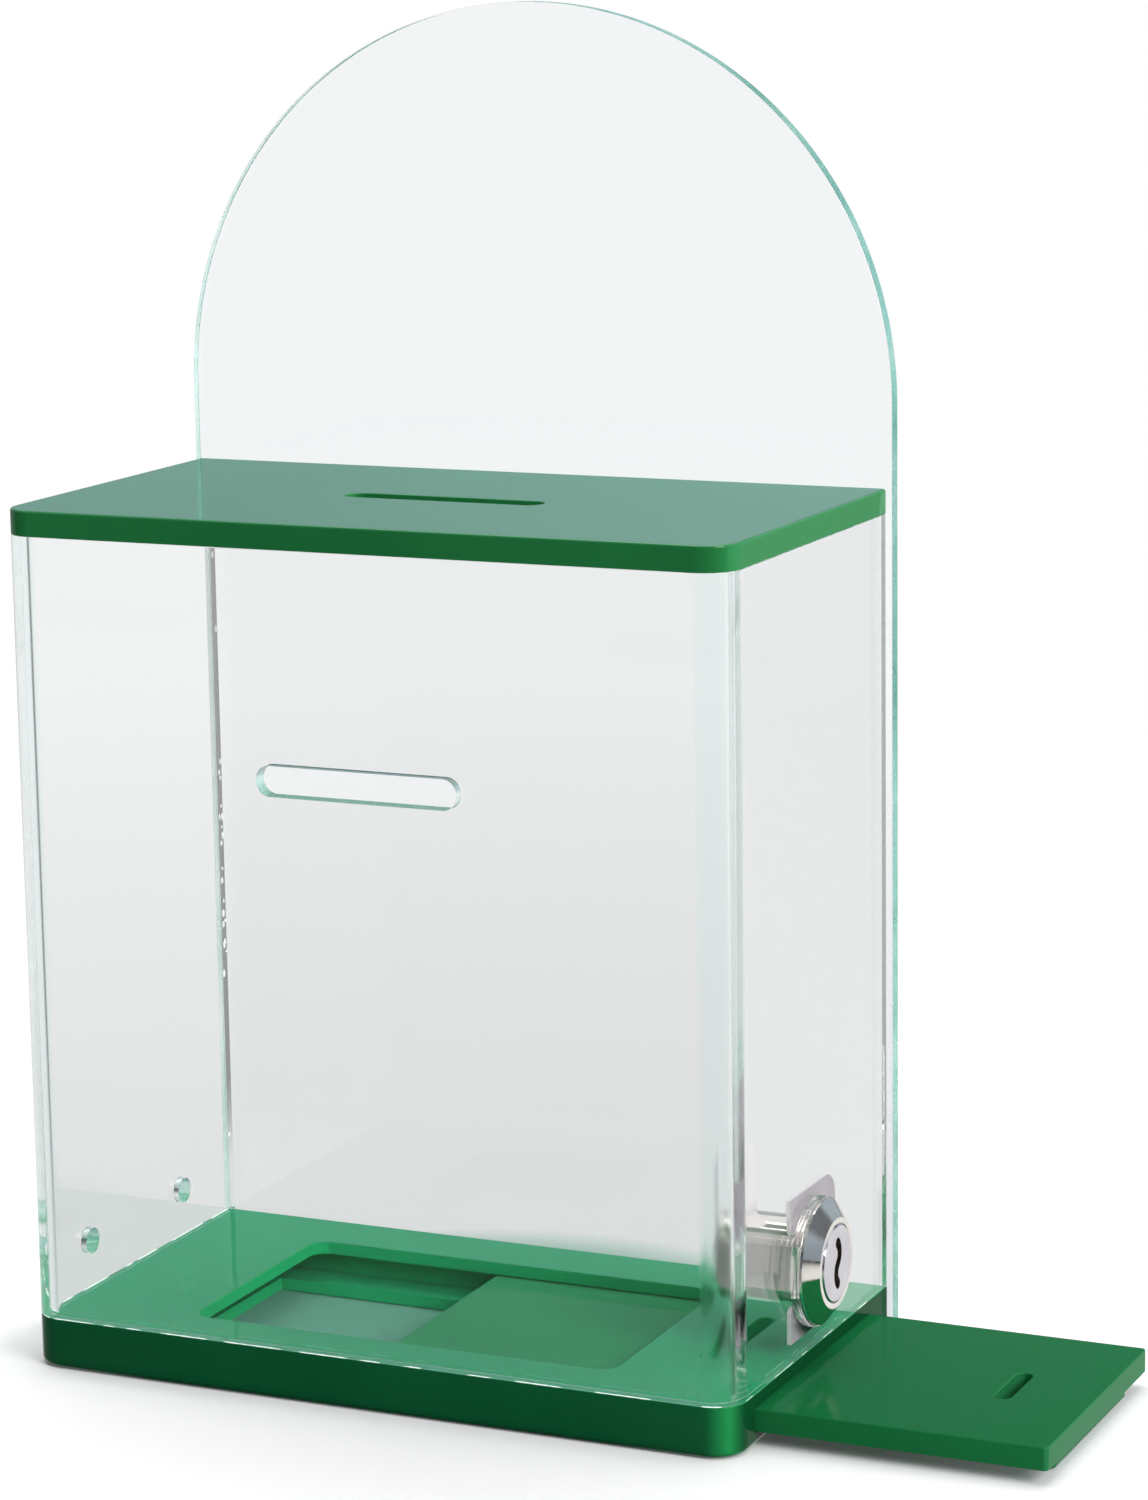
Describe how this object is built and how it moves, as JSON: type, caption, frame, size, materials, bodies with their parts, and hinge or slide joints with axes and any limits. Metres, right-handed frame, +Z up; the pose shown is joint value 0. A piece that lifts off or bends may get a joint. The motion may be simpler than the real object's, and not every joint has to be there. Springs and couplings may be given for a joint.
{
  "type": "donation box",
  "caption": "Clear acrylic counter-top collection box with green lid and base, an arched back panel, money slots, and a locked sliding plate under the base outlet.",
  "frame": {"origin": "middle of the underside of the base, between the front of the box and the back panel", "axes": "+X to the right along the front, the way the plate is drawn out; +Y from the front to the back panel; +Z up"},
  "size_m": [0.2497, 0.1, 0.315],
  "materials": {
    "green_acrylic": "polished opaque green acrylic sheet",
    "clear_acrylic": "clear acrylic sheet with faintly green cut edges",
    "lock_chrome": "polished chrome",
    "zinc_steel": "bright zinc-plated spring steel",
    "wafer_brass": "stamped brass"
  },
  "bodies": {
    "box": {"lid": "green_acrylic", "window_shell": "clear_acrylic", "back_panel": "clear_acrylic", "base_deck": "green_acrylic", "base_channel": "green_acrylic", "base_ledge": "green_acrylic", "lock_spacer": "clear_acrylic", "lock_housing": "lock_chrome", "lock_clip": "zinc_steel"},
    "plate": {"slide_plate": "green_acrylic", "slide_runner": "green_acrylic"},
    "plug": {"lock_plug": "lock_chrome", "stop_washer": "zinc_steel", "lock_cam": "zinc_steel", "cam_washer": "zinc_steel", "cam_screw": "zinc_steel", "wafer_1": "wafer_brass", "wafer_2": "wafer_brass", "wafer_3": "wafer_brass", "wafer_4": "wafer_brass", "wafer_5": "wafer_brass", "wafer_spring_1": "zinc_steel", "wafer_spring_2": "zinc_steel", "wafer_spring_3": "zinc_steel", "wafer_spring_4": "zinc_steel", "wafer_spring_5": "zinc_steel"}
  },
  "joints": [
    {"name": "plate_slide", "type": "slide", "parent": "box", "child": "plate", "axis": [1, 0, 0], "range_m": [-0.0682, 0.0958]},
    {"name": "lock_turn", "type": "hinge", "parent": "box", "child": "plug", "pos_m": [0.09, 0, 0.0325], "axis": [-1, 0, 0], "range_deg": [0, 150]}
  ]
}
